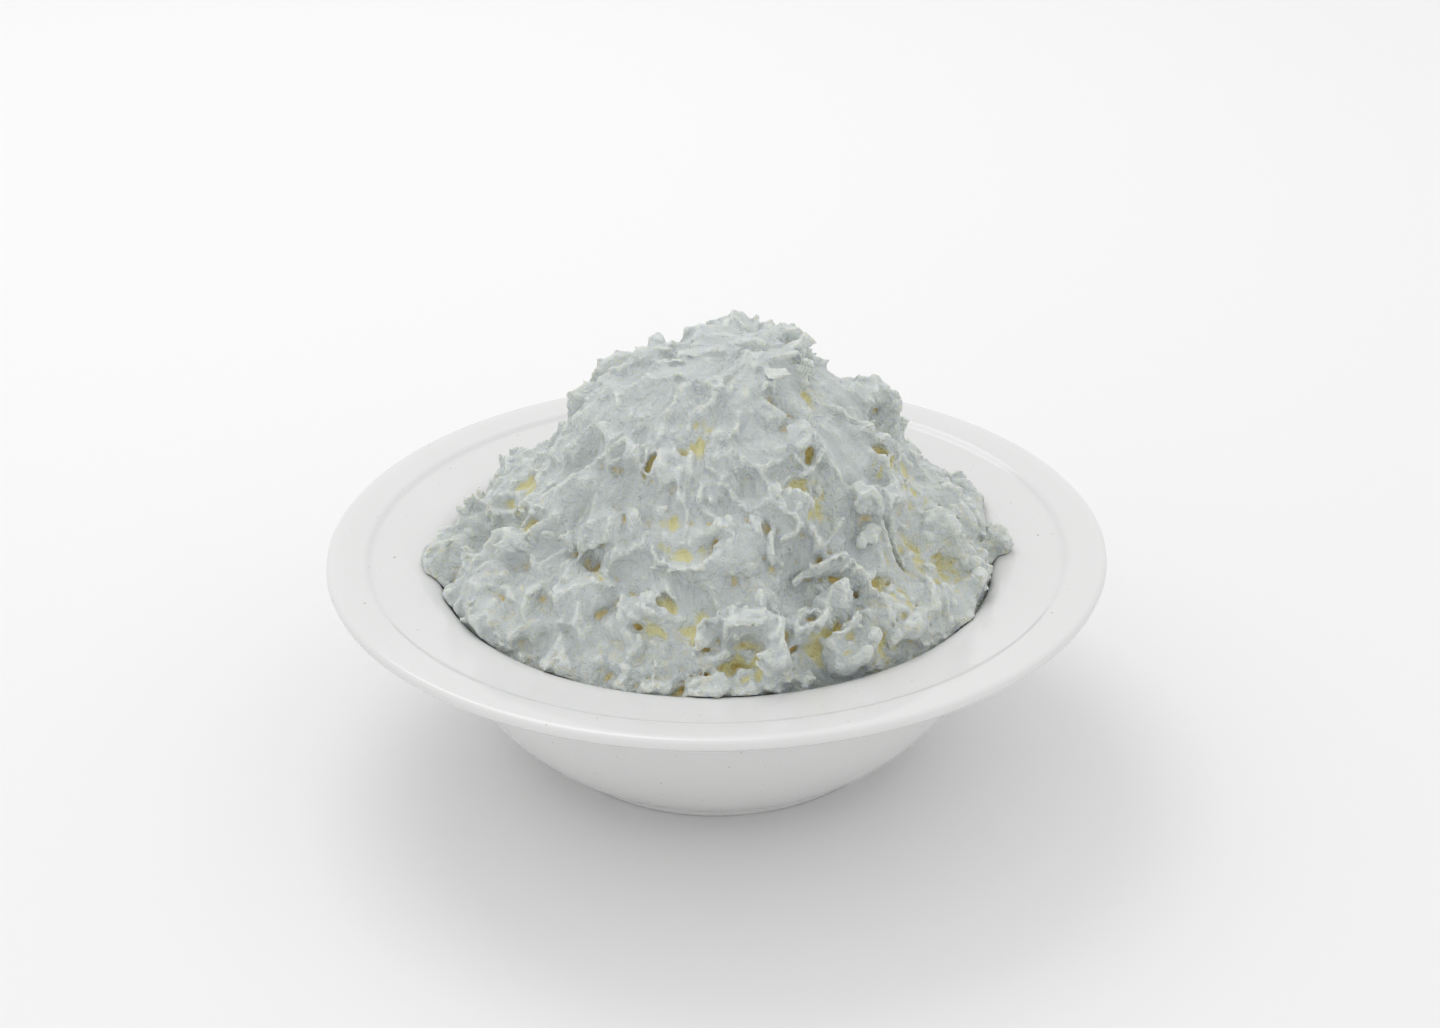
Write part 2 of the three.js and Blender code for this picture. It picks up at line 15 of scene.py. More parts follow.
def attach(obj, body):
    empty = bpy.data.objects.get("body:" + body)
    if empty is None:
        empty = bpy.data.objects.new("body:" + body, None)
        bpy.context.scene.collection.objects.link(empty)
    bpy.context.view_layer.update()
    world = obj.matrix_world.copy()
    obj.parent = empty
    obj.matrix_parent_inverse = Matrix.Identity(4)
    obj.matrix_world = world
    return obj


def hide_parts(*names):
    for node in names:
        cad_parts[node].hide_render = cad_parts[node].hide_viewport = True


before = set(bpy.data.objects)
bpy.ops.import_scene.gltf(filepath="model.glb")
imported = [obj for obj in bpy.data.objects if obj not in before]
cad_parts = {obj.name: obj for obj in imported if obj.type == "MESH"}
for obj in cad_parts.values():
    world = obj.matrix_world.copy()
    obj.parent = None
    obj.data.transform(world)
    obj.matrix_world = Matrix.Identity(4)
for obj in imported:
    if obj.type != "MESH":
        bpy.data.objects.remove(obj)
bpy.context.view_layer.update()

MM = 0.001

# The bowl: outlines as (radius, height), and the corners of its Bezier curves
FOOT = [(0, 2.6), (46.8, 2.6), (47.7, 1.6), (48.4, 0.2), (49, 0), (51.4, 0), (52.1, 0.3), (52.5, 1.4),
        (52.8, 2.5)]
BODY = [(54, 3.4), (68, 11), (83, 31), (87.2, 52)]
TURN_OUT = [(87.2, 52), (88.6, 57.6), (95, 58.1)]
LIP = [(112.4, 61.2), (113.8, 61.6), (114.7, 62.4), (115, 63.3), (114.8, 64.2), (114.2, 64.8), (113.2, 65),
       (111.5, 64.95)]
RING = [(108, 64.55), (104.6, 64.1), (103.6, 63.9), (102.9, 63.45), (102.2, 63), (101.3, 62.8)]
SHOULDER = [(88.5, 61.2), (82.6, 60.3), (81.6, 56.5)]
WALL = [(81.6, 56.5), (79, 33), (66, 6.6), (34, 6.6)]
PAST_RIM = (120, 65)
CURVE_STEPS = 24
BEND_STEPS = 10
TURNED_STEPS = 288

# The heap: heights are over HEAP_BASE, and angles are in degrees round it from the front, towards +X
HEAP_BASE = 60
# height, radius, shift of the middle towards +X
TIERS = np.array([(-6, 81.5, 0), (0, 80, 0.5), (4, 78.5, 0.5), (12, 71, 0.5), (20, 61, 0.5), (28, 54, 1.5),
                  (36, 46.5, 2), (44, 40, 1), (52, 33.5, 1), (57, 26.5, 3.5), (61, 19, 7), (63.5, 13, 10.5),
                  (65, 5, 11.5)], float)
LEAN_BACK = 5  # shift of the top away from the front
CELL = 0.8  # the spacing of the grid
GRID_HALF = 92
GRID_LOW, GRID_SPLIT, GRID_TOP = 4, 50, 137  # under the split, labneh fills the bowl from wall to wall
GAP = 0.3  # between the labneh and the bowl
HEAP_TRIANGLES = 195000
LUMP_TOP = 62  # the highest that a tier of scattered lumps may be
SWEEP_TOP = 66  # and a tier of scattered sweeps
SCARP = 0.25  # how much deeper a sweep is at its upper end
FAN = 0.45  # how much a sweep's streaks spread towards its lower end
SWEEP_REACH = 9  # how far in and out of the slope a sweep is felt
SWEEP_LEVEL = 2.2  # how deep the sweeps go on the whole
SWEEP_MARGIN = 5  # how far past its own size a sweep is looked for
MARK_MARGIN = 6  # and a lump or hollow
SKIN = 4  # crumbs and ragged crests are worked out this far in and out of the surface
FILL_REACH = 1.6  # how wide the labneh near a point is averaged
KNOB_SQUARE = 0.56  # the square of a knob's radius, in cells of its lattice
CREASE_LEVEL = -0.4  # the lowest level between knobs
TOUCH = -0.01  # the field at a grid point that has been filled
MEND_ROUNDS = 60

# The places of creamier labneh: angle, height, reach
CREAM_PLACES = [(28, 35.5, 9), (-16, 31, 7), (-10, 26.5, 6), (35, 44.5, 5), (-11, 52, 8), (-30, 43, 5),
                (1, 32, 3), (-66, 27.5, 5), (75, 63.5, 4), (66, 54, 6), (-34, 20, 5), (56, 18, 10),
                (42, 12.5, 9), (63, 12, 12), (-12, 14.5, 8), (-6, 13.5, 7), (5, 3.5, 9), (23, 7, 8),
                (-69, 18.5, 9), (-89, 22.5, 9), (70, 34, 6), (80, 28.5, 14), (100, 17, 8), (34, 2, 8)]

FOOT_LUMPS = ((26, 7, (6, 8, 4.6)), (90, 9, (2.8, 3, 2.8)))  # count, seed, sizes
FOOT_TURN = -52  # the angle of the first of them

WARPS = ((13, 2.4, 11), (5.5, 1.4, 21), (2.3, 0.45, 31))  # spacing, reach, seed
RIDGES = ((0.7, (4.5, 6), 81), (0.45, (2.2, 3.5), 82))  # reach, spacing across and up, seed
STREAK_DEPTH = 0.45
STREAKS = ((0.5, 1.9, 0), (0.3, 3.1, 1), (0.3, 0.9, 2))  # share, radians in a millimetre, shift


def draw(i, j, k, seed):
    """A seeded draw from 0 to 1 for three whole numbers, or arrays of them"""
    word = np.uint64(0xFFFFFFFF)

    def times(a, b):
        return (np.asarray(a).astype(np.int64).astype(np.uint64) & word) * np.uint64(b & 0xFFFFFFFF) & word

    h = times(i, 73856093) ^ times(j, 19349663) ^ times(k, 83492791) ^ times(seed, 2654435761)
    h = times(h ^ h >> np.uint64(16), 0x7FEB352D)
    h = times(h ^ h >> np.uint64(15), 0x846CA68B)
    return (h ^ h >> np.uint64(16)).astype(np.float64) / 4294967296


def spline_weights(values, spacing):
    """The lattice round the values, and each value's cubic B-spline weights on it"""
    at = values / spacing
    low = np.floor(at).astype(int)
    t = at - low
    s = 1 - t
    weights = [s**3 / 6, (3 * t * t * (t - 2) + 4) / 6, (3 * s * s * (s - 2) + 4) / 6, t**3 / 6]
    lattice = np.arange(low.min() - 1, low.max() + 3)
    table = np.zeros((len(values), len(lattice)), np.float32)
    for n, weight in enumerate(weights):
        table[np.arange(len(values)), low + n - 1 - lattice[0]] = weight
    return lattice, table


def noise(axes, spacing, seed):
    """Smooth noise from about -1.5 to 1.5 on the grid: seeded draws joined by B-splines, spacing apart
    (across, or across and up)"""
    across, up = spacing if isinstance(spacing, tuple) else (spacing, spacing)
    lattices, tables = zip(*[spline_weights(axis, gap) for axis, gap in zip(axes, (across, across, up))])
    i, j, k = np.meshgrid(*lattices, indexing="ij")
    values = (draw(i, j, k, seed) * 2 - 1).astype(np.float32)
    values = np.tensordot(tables[0], values, axes=(1, 0))
    values = np.einsum("yj,xjk->xyk", tables[1], values, optimize=True)
    return 3 * np.einsum("zk,xyk->xyz", tables[2], values, optimize=True)


def smoothstep(x, a, b):
    t = np.clip((x - a) / (b - a), 0, 1)
    return t * t * (3 - 2 * t)


def tier_at(height):
    """The mound at heights: its middle, radius, slope, and how far the height is past its ends"""
    heights, radii, shifts = TIERS.T
    h = np.clip(height, heights[0], heights[-1])
    slopes = np.diff(radii) / np.diff(heights)
    n = np.clip(np.searchsorted(heights, h, side="right") - 1, 0, len(slopes) - 1)
    y = LEAN_BACK * np.maximum(h, 0) / heights[-1]
    return np.interp(h, heights, shifts), y, np.interp(h, heights, radii), slopes[n], height - h


def mound_distance(x, y, z):
    middle_x, middle_y, radius, slope, over = tier_at(z - HEAP_BASE)
    outside = np.hypot(x - middle_x, y - middle_y) - radius
    flat = outside / np.hypot(1, slope)
    return np.where(over > 0, np.maximum(outside, over), flat + np.minimum(over, 0)).astype(np.float32)


def ellipsoid(kind, angle, height, sizes, turn=0, tilt=0, lift=0, blend=1.2, depth=0):
    """One mark on the mound. Its sizes are half lengths along the fall of the slope, across it and out of
    it. turn swings its lower end towards +X, tilt lifts that end, and lift moves the mark out."""
    x, y, radius, slope, _ = (float(value) for value in tier_at(float(height)))
    s, c = sin(radians(angle)), cos(radians(angle))
    normal = np.array([s, -c, -slope]) / np.hypot(1, slope)
    level = np.array([c, s, 0])
    fall = np.cross(level, normal)
    down = fall * cos(radians(turn)) + level * sin(radians(turn))
    across = level * cos(radians(turn)) - fall * sin(radians(turn))
    along = down * cos(radians(tilt)) + normal * sin(radians(tilt))
    out = normal * cos(radians(tilt)) - down * sin(radians(tilt))
    centre = np.array([x + radius * s, y - radius * c, HEAP_BASE + height]) + lift * normal
    axes = (along, across, out)
    return {"kind": kind, "centre": centre, "axes": axes, "sizes": sizes, "blend": blend, "depth": depth}


def scatter(kind, first, rise, apart, seed, sizes, tilt=(0, 0), lift=(0, 0), turn=0, flow=0, blend=0.8,
            spread=0.6, depth=0, top=LUMP_TOP):
    """Marks all round the mound, in tiers that rise by rise and are apart along, each drawn a little
    differently. flow swings their lower ends together and turn each by itself, and tilt and lift are
    ranges, the latter in parts of the mark's height."""
    marks = []
    for tier in range(int((top - first) / rise) + 1):
        height = first + tier * rise
        count = max(1, round(2 * pi * float(tier_at(height)[2]) / apart))
        for i in range(count):
            d = [float(draw(tier, i, k, seed)) for k in range(9)]
            angle = 360 * (i + 0.5 * tier + 0.8 * (d[0] - 0.5)) / count
            h = height + rise * 0.8 * (d[2] - 0.5)
            size = 1 - spread / 2 + spread * d[1]
            shape = [size * value * (0.8 + 0.4 * d[6 + n]) for n, value in enumerate(sizes)]
            marks.append(ellipsoid(
                kind, angle, h, shape,
                turn=flow * sin(radians(3 * angle + 5 * h)) + turn * (2 * d[3] - 1),
                tilt=tilt[0] + (tilt[1] - tilt[0]) * d[4],
                lift=shape[2] * (lift[0] + (lift[1] - lift[0]) * d[5]),
                blend=blend, depth=depth * size))
    return marks


def foot_lumps():
    """Lumps along the foot of the heap, with gaps between them where the bowl shows"""
    marks = []
    for count, seed, sizes in FOOT_LUMPS:
        for i in range(count):
            d = [float(draw(i, 0, k, seed)) for k in range(6)]
            size = 0.6 + 0.6 * d[1]
            angle = 360 * (i + 0.7 * (d[0] - 0.5)) / count + FOOT_TURN
            marks.append(ellipsoid(
                "add", angle, 4 * d[2] - 0.5, [size * value for value in sizes], turn=40 * (d[5] - 0.5),
                tilt=20 * d[3], lift=sizes[2] * (0.7 * d[4] - 0.6), blend=0.8))
    return marks


def placed_marks():
    """The marks that show from the front, placed one by one"""

    def add(*values, **more):
        return ellipsoid("add", *values, **more)

    def cut(*values, **more):
        return ellipsoid("cut", *values, **more)

    def dish(angle, height, length, width, depth, turn=0):
        return ellipsoid("sweep", angle, height, (length, width, SWEEP_REACH), turn=turn, depth=depth)

    return [
        # The peak: a slab on the right, cut off short at its end, crumbs on the left and a recess between
        add(84, 60.5, (6.5, 6.5, 3.6), lift=-0.4, blend=2),
        add(-80, 64, (3.6, 4, 2), lift=-1.4),
        add(-110, 58.5, (7, 8, 3.6), lift=-1.2, blend=2),
        cut(5, 65, (4, 7, 4), lift=2.2),
        cut(90, 58.5, (6, 8, 5), lift=5.5),
        # Shoulders on the skyline
        add(-118, 49, (9, 8, 6), lift=-0.5),
        add(-95, 46, (7, 7, 5), lift=-0.8),
        add(100, 44, (8, 7, 6), lift=1),
        add(100, 37, (4.5, 4, 5), lift=2.5, blend=2),
        add(98, 31, (7, 6, 4), lift=-1),
        # The dishes under the peak
        dish(-52, 62, 9, 6, 3),
        dish(-25, 63, 9, 6.5, 3),
        dish(-5, 58.5, 6, 8, 3.2),
        dish(15, 56, 12, 8.5, 3.4, turn=8),
        dish(-54, 53, 8, 12, 3.2, turn=-10),
        dish(46, 59.5, 12, 6, 3, turn=12),
        # The long trough down the right, with a crest on each side
        add(41, 43.5, (16, 3.4, 3.6), turn=26, lift=-0.4, blend=1),
        dish(53, 39, 26, 9.5, 4.2, turn=20),
        add(76, 40, (17, 3.4, 3.6), turn=14, blend=1),
        dish(87, 37.5, 15, 6, 3, turn=10),
        # The hollow left of the middle and the small holes round it
        cut(-12, 52.5, (5.4, 3.4, 4), turn=-18, lift=1.6, blend=0.8),
        add(-22, 45, (7.5, 8, 4), tilt=12, lift=-0.6),
        cut(-31, 42.5, (2.6, 1.5, 4), lift=1, blend=0.5),
        cut(1, 32, (1.6, 1.3, 3), lift=0.8, blend=0.4),
        dish(4, 45.5, 6, 9, 3),
        cut(35, 44.5, (2.4, 1.2, 3), lift=1.3, blend=0.5),
        # Smooth faces and steps on the left
        add(-47, 45.5, (5, 12, 3.8), turn=-4, tilt=20, lift=-0.6),
        add(-57, 32, (16, 9, 4.4), turn=-14, tilt=4, lift=-0.6),
        dish(-56, 32, 15, 8, 2.6, turn=-14),
        dish(-40, 37, 9, 7.5, 3.4, turn=-20),
        add(-39, 27.5, (10, 9, 4), tilt=10, lift=-0.6),
        dish(-22, 34, 9, 9.5, 3.4),
        dish(-14, 29, 11, 7, 3.4, turn=16),
        cut(-73, 20.5, (4, 4.5, 4), lift=1.4, blend=0.6),
        cut(-88, 24, (4.4, 5, 4), lift=1.4, blend=0.6),
        add(-62, 17, (7, 8, 5), tilt=14),
        add(-83, 13, (6, 7, 5), tilt=10),
        cut(-35, 20.5, (1.7, 1.4, 3.5), lift=0.6, blend=0.4),
        # The fan of crests in the middle and the smooth dish beside it
        add(20, 36, (5, 7, 4), lift=0.6),
        *[add(8.5 + 5.2 * i, 31, (13, 2.4, 3), turn=turn, lift=0.2, blend=2)
          for i, turn in enumerate((-26, -8, 11, 30))],
        add(4, 27, (11, 8, 4.4), tilt=6, lift=-0.6),
        dish(5, 23.5, 8.5, 7, 2.8),
        # The ledge that hangs out on the right and the hollow under it
        add(29, 20.5, (5, 11, 3.6), turn=6, tilt=12, lift=0.6),
        cut(28, 15, (2.2, 7, 4), lift=2, blend=0.8),
        add(53, 28, (4, 13, 4), turn=-4, tilt=20, lift=0.8),
        add(44, 23.5, (5, 6, 4), tilt=10, lift=0.5),
        # The cave, the crack and the yellow hollows on the right
        cut(56, 19, (5.8, 3.2, 8), blend=0.6),
        dish(47, 14.5, 6, 8.5, 3),
        cut(40, 15.5, (1.2, 6, 5), turn=12, blend=0.4),
        dish(67, 11, 7, 7, 3),
        cut(80, 28.5, (4.2, 4.4, 4), lift=1.2, blend=0.6),
        add(87, 17, (6, 8, 4.4), tilt=16, lift=-1),
        add(72, 15, (4.4, 9, 4.4), tilt=10, lift=0.4),
        # The smooth slope on the left, the steps beside it and the foot's end, cut back
        add(-63, 7, (12, 13, 5), lift=-2),
        dish(-62, 8.5, 13, 13, 2.4),
        cut(-44, 10, (3.4, 1.8, 4), lift=1.4, blend=0.6),
        add(-34, 15, (11, 12, 5), tilt=8, lift=-1.6),
        add(-18, 15, (6, 10, 4), tilt=14, lift=-0.2),
        cut(-13, 16, (2, 3.6, 3), lift=1.4, blend=0.6),
        cut(-91, 2, (9, 13, 7), lift=8.5),
        # The lumps that stand out over the middle of the front
        add(6, 12, (6, 7.5, 5), tilt=12, lift=0.8),
        add(10, 9.5, (5, 6, 4.6), tilt=14, lift=1.2),
        add(-3, 12, (6, 5, 4), lift=0.4),
        add(12, 6, (6.5, 5, 5), tilt=10, lift=0.8),
        add(19, 10.5, (5, 6, 5), tilt=12, lift=0.8),
        cut(4, 5.5, (2, 6, 4.5), lift=1.6, blend=0.5),
        add(26, 13.5, (5, 8, 4), tilt=12, lift=-0.4),
        # Slabs laid side by side low on the right
        add(27, 5, (6.5, 10, 4.5), turn=24, tilt=12, lift=0.2),
        add(34, 7.5, (4, 13, 3.6), turn=14, tilt=12, lift=-0.6),
        add(42, 5, (4, 10, 4), turn=10, tilt=14),
        add(51, 8, (4.4, 10, 4.2), turn=8, tilt=12),
        add(60, 5, (8, 8, 5), tilt=8, lift=-1),
        add(66, 4, (4.4, 7, 4.4)),
        add(90, 1, (5, 5.5, 4), lift=3),
    ]


def calm_places():
    """Where the yoghurt was swept flat and has no crests"""
    places = [(53, 39, (24, 9, 12), 20), (5, 23.5, (8, 6.5, 9), 0), (-62, 8.5, (12, 12, 9), 0),
              (-56, 32, (14, 7, 9), -14), (46, 59.5, (9, 4, 9), 12), (15, 56, (9, 6, 9), 8),
              (-34, 15, (8, 9, 8), 0)]
    return [ellipsoid("sweep", angle, height, sizes, turn=turn, depth=1.6)
            for angle, height, sizes, turn in places]


def bend(corners, steps):
    """Points along the Bezier curve with these corners"""
    corners = np.array(corners, float)
    t = np.linspace(0, 1, steps + 1)[:, None]
    n = len(corners) - 1
    return sum(comb(n, k) * (1 - t)**(n - k) * t**k * corner for k, corner in enumerate(corners))


def well_outline():
    """The bowl's inside, from the ring round the rim down to the middle of the floor"""
    middle = (0, WALL[-1][1])
    return np.concatenate([RING[-1:], bend(SHOULDER, BEND_STEPS), bend(WALL, CURVE_STEPS)[1:], [middle]])


def bowl_outline():
    """The bowl's whole outline, from the middle of its underside round to the middle of its floor"""
    outside = [FOOT, bend(BODY, CURVE_STEPS), bend(TURN_OUT, BEND_STEPS)[1:], LIP]
    return np.concatenate([*outside, RING[:-1], well_outline()])


def grid_axes():
    across = np.arange(-GRID_HALF, GRID_HALF + CELL, CELL)
    return across, across, np.arange(GRID_SPLIT, GRID_TOP + CELL, CELL)


def window(mark, axes, reach):
    """The part of the grid within reach of a mark's centre"""
    slices = []
    for axis, centre in zip(axes, mark["centre"]):
        low = max(0, int(np.floor((centre - reach - axis[0]) / CELL)))
        high = min(len(axis), int(np.ceil((centre + reach - axis[0]) / CELL)) + 1)
        slices.append(slice(low, max(low, high)))
    return tuple(slices)


def scaled(mark, warped, part):
    """A mark's own coordinates, 1 at its surface, in part of the grid"""
    away = [warped[a][part] - np.float32(mark["centre"][a]) for a in range(3)]
    return [
        sum(w * np.float32(value) for w, value in zip(away, axis)) / np.float32(size)
        for axis, size in zip(mark["axes"], mark["sizes"])
    ]


def smooth_min(a, b, width):
    """The lesser of a and b, rounded where they are within width of each other"""
    return np.minimum(a, b) - np.maximum(width - np.abs(a - b), 0)**2 / (4 * width)


def carve(mark, axes, field, warped):
    """Adds one lump to the field, or cuts one hollow out of it"""
    part = window(mark, axes, max(mark["sizes"]) + MARK_MARGIN)
    q = scaled(mark, warped, part)
    near = np.sqrt(q[0]**2 + q[1]**2 + q[2]**2)
    steep = np.sqrt(sum((value / size)**2 for value, size in zip(q, mark["sizes"]))) + 1e-9
    distance = np.maximum(near * (near - 1) / steep, -min(mark["sizes"])).astype(np.float32)
    if mark["kind"] == "add":
        field[part] = smooth_min(field[part], distance, mark["blend"])
    else:
        field[part] = -smooth_min(-field[part], distance, mark["blend"])


def swept(marks, axes, warped, shape):
    """How deep the spoon's sweeps go: the deepest of a paraboloid for each, so that crests are left between
    them. Also a streak coordinate in millimetres, which fans out across each sweep from over its top."""
    sunk = np.zeros(shape, np.float32)
    fan = np.zeros(shape, np.float32)
    for mark in marks:
        part = window(mark, axes, max(mark["sizes"]) + SWEEP_MARGIN)
        along, across, out = scaled(mark, warped, part)
        lean = np.clip(along, -1, 1)
        level = np.float32(mark["depth"]) * (1 - along**2 - across**2 - out**2) * (1 - SCARP * lean)
        wins = level > sunk[part]
        sunk[part][wins] = level[wins]
        width = np.float32(mark["sizes"][1])
        fan[part][wins] = (width * across / (1 + FAN * lean))[wins]
    return sunk, fan


def blur(field, reach):
    """A box blur of the grid, reach in millimetres"""
    r = max(1, round(reach / CELL))
    for axis in range(3):
        pad = [(0, 0)] * 3
        pad[axis] = (r + 1, r)
        total = np.cumsum(np.pad(field, pad, mode="edge"), axis=axis, dtype=np.float64)
        n = field.shape[axis]
        high = np.take(total, np.arange(2 * r + 1, 2 * r + 1 + n), axis=axis)
        field = ((high - np.take(total, np.arange(n), axis=axis)) / (2 * r + 1)).astype(np.float32)
    return field


def hashed(i, j, k, seed):
    h = (i * 73856093 ^ j * 19349663 ^ k * 83492791 ^ seed * 2654435761).astype(np.uint32)
    h = (h ^ h >> np.uint32(16)) * np.uint32(0x7FEB352D)
    h = (h ^ h >> np.uint32(15)) * np.uint32(0x846CA68B)
    return h ^ h >> np.uint32(16)


def grains(points, spacing, seed):
    """Knobs, 1 at a knob's middle and about 0 in the creases: one knob in each cell of a lattice"""
    at = points / np.float32(spacing)
    low = np.floor(at).astype(np.int64)
    part = (at - low).astype(np.float32)
    nearest = np.full(len(points), 9, np.float32)
    for step in np.ndindex(3, 3, 3):
        step = np.array(step) - 1
        word = hashed(*(low + step).T, seed)
        place = [(word >> np.uint32(10 * a) & np.uint32(1023)).astype(np.float32) / 1023 for a in range(3)]
        square = sum((float(step[a]) + place[a] - part[:, a])**2 for a in range(3))
        np.minimum(nearest, square, out=nearest)
    return np.clip(1 - nearest / KNOB_SQUARE, CREASE_LEVEL, 1)


def crumbly_share(axes, x, y, height):
    """Where the labneh lies in crumbs and not in sweeps: along the foot, and higher up on the right"""
    angle = np.degrees(np.arctan2(x - 3, 2 - y))
    right_side = smoothstep(np.abs(angle - 62), 30, 8) * smoothstep(height, 40, 25)
    crumbly = 0.5 * noise(axes, 12, 41) + 0.75 * smoothstep(height, 26, 4) + 0.5 * right_side
    return smoothstep(crumbly, 0.3, 0.7)


def lumps_and_hollows(placed):
    lumps = scatter("add", 1, 7, 12, 5, (7, 6.5, 3.6), tilt=(5, 22), lift=(-1, -0.7), turn=70)
    bits = scatter("add", 3, 5, 8, 8, (4.2, 3.8, 2.3), tilt=(0, 20), lift=(-1, -0.5), turn=90, blend=0.5)
    return lumps + bits + foot_lumps() + [mark for mark in placed if mark["kind"] != "sweep"]


def sweeps_of_the_spoon(placed):
    more = {"spread": 0.8, "top": SWEEP_TOP}
    large = scatter("sweep", 3, 6, 10, 6, (9, 6.5, SWEEP_REACH), turn=25, flow=25, depth=3.8, **more)
    small = scatter("sweep", 4, 4.4, 7.5, 16, (6.2, 4.2, SWEEP_REACH), turn=180, depth=2.7, **more)
    return large + small + [mark for mark in placed if mark["kind"] == "sweep"]


def heap_field(axes):
    """The heap's field on the grid: about the distance in millimetres, negative inside the labneh. Also
    its crumbly share and its streak coordinate."""
    x, y, z = np.meshgrid(*[axis.astype(np.float32) for axis in axes], indexing="ij")
    warped = [x, y, z]
    for spacing, reach, seed in WARPS:
        warped = [w + np.float32(reach) * noise(axes, spacing, seed + a) for a, w in enumerate(warped)]
    field = mound_distance(*warped)
    crumbly = crumbly_share(axes, x, y, z - HEAP_BASE)
    placed = placed_marks()
    for mark in lumps_and_hollows(placed):
        carve(mark, axes, field, warped)

    sunk, fan = swept(sweeps_of_the_spoon(placed), axes, warped, field.shape)
    streaks = sum(share * np.sin(rate * fan + shift) for share, rate, shift in STREAKS)
    sunk += STREAK_DEPTH * streaks - SWEEP_LEVEL
    for reach, spacing, seed in RIDGES:
        sunk += reach * (np.abs(noise(axes, spacing, seed)) - 0.45)
    calm, _ = swept(calm_places(), axes, warped, field.shape)
    field += sunk * (1 - 0.5 * crumbly) * (1 - 0.5 * np.clip(calm, 0, 1))
    crest = np.clip((blur(field, 1.7) - field - 0.1) / 0.4, 0, 1)

    near = np.abs(field) < SKIN
    points = np.stack([w[near] for w in warped], 1)
    fine = grains(points, 1.8, 72)
    crumbs = 1.3 * grains(points, 6, 70) + 0.8 * grains(points, 3, 71) + 0.45 * fine - 1.35
    ragged = -0.05 - 0.4 * np.abs(noise(axes, 2.6, 62))[near] - 0.4 * np.abs(noise(axes, 1.5, 63))[near]
    share = crumbly[near]
    swept_skin = ragged * crest[near] - 0.15 * (fine - 0.5)
    field[near] += swept_skin * (1 - share) - crumbs * (0.1 + 0.9 * share)
    return field, crumbly, fan


def room_field(axes):
    """The room over the bowl: negative where the labneh may be"""
    outline = np.concatenate([well_outline()[::-1], RING[-2::-1], [PAST_RIM]])
    x, y, z = np.meshgrid(*[axis.astype(np.float32) for axis in axes], indexing="ij", sparse=True)
    radius = np.hypot(x, y)
    height = np.interp(radius, outline[:, 0], outline[:, 1])
    steps = np.diff(outline, axis=0)
    slope = np.interp(radius, (outline[1:, 0] + outline[:-1, 0]) / 2, steps[:, 1] / steps[:, 0])
    return ((height - z) / np.hypot(1, slope) + GAP).astype(np.float32)


def joined_masks():
    """For each way that a cell's eight corners can be in or out, whether each kind is in one piece"""

    def joined(mask):
        members = {n for n in range(8) if mask >> n & 1}
        reached = set(list(members)[:1])
        for _ in range(8):
            reached |= {n ^ bit for n in reached for bit in (1, 2, 4)} & members
        return reached == members

    return np.array([joined(mask) and joined(255 - mask) for mask in range(256)])


def corner_view(values, n, cells):
    """The values at corner n of every cell"""
    a, b, c = n & 1, n >> 1 & 1, n >> 2 & 1
    return values[a:a + cells[0], b:b + cells[1], c:c + cells[2]]


def mend(field):
    """Fills the grid points that would make the surface touch itself along an edge or at a corner"""
    sound = joined_masks()
    cells = np.array(field.shape) - 1
    corners = np.array([(n & 1, n >> 1 & 1, n >> 2 & 1) for n in range(8)])
    for _ in range(MEND_ROUNDS):
        mask = sum((corner_view(field, n, cells) < 0).astype(np.uint8) << n for n in range(8))
        bad = np.argwhere(~sound[mask])
        if not len(bad):
            return
        at = bad[:, None] + corners
        values = field[at[..., 0], at[..., 1], at[..., 2]]
        pick = at[np.arange(len(bad)), np.where(values < 0, np.inf, values).argmin(1)]
        field[tuple(pick.T)] = TOUCH


def surface_net(axes, field):
    """A closed mesh round the field's inside: a vertex in each cell that the surface crosses, at the mean
    of its crossings, and a quad for each grid edge that it crosses"""
    inside = field < 0
    cells = np.array(field.shape) - 1
    count = sum(corner_view(inside, n, cells).astype(np.uint8) for n in range(8))
    active = (count > 0) & (count < 8)
    ids = np.full(cells, -1, np.int64)
    places = np.argwhere(active)
    ids[active] = np.arange(len(places))
    total = np.zeros((len(places), 3))
    crossings = np.zeros(len(places))
    for a in range(3):
        for n in range(4):
            start = places.copy()
            start[:, (a + 1) % 3] += n & 1
            start[:, (a + 2) % 3] += n >> 1
            end = start.copy()
            end[:, a] += 1
            u, v = field[tuple(start.T)], field[tuple(end.T)]
            crosses = (u < 0) != (v < 0)
            point = start.astype(float)
            point[crosses, a] += u[crosses] / (u[crosses] - v[crosses])
            total[crosses] += point[crosses]
            crossings[crosses] += 1
    points = total / crossings[:, None] * CELL + [axis[0] for axis in axes]
    quads = []
    for a in range(3):
        b, c = (a + 1) % 3, (a + 2) % 3
        low = [slice(1, -1)] * 3
        low[a] = slice(0, -1)
        high = [slice(1, -1)] * 3
        high[a] = slice(1, None)
        start, end = inside[tuple(low)], inside[tuple(high)]
        base = np.argwhere(start != end) + [0 if axis == a else 1 for axis in range(3)]
        quad = []
        for m, n in ((0, 0), (1, 0), (1, 1), (0, 1)):
            cell = base.copy()
            cell[:, b] -= m
            cell[:, c] -= n
            quad.append(ids[tuple(cell.T)])
        quad = np.stack(quad, 1)
        leaving = ~start[start != end]
        quad[leaving] = quad[leaving][:, ::-1]
        quads.append(quad)
    return points, np.concatenate(quads)


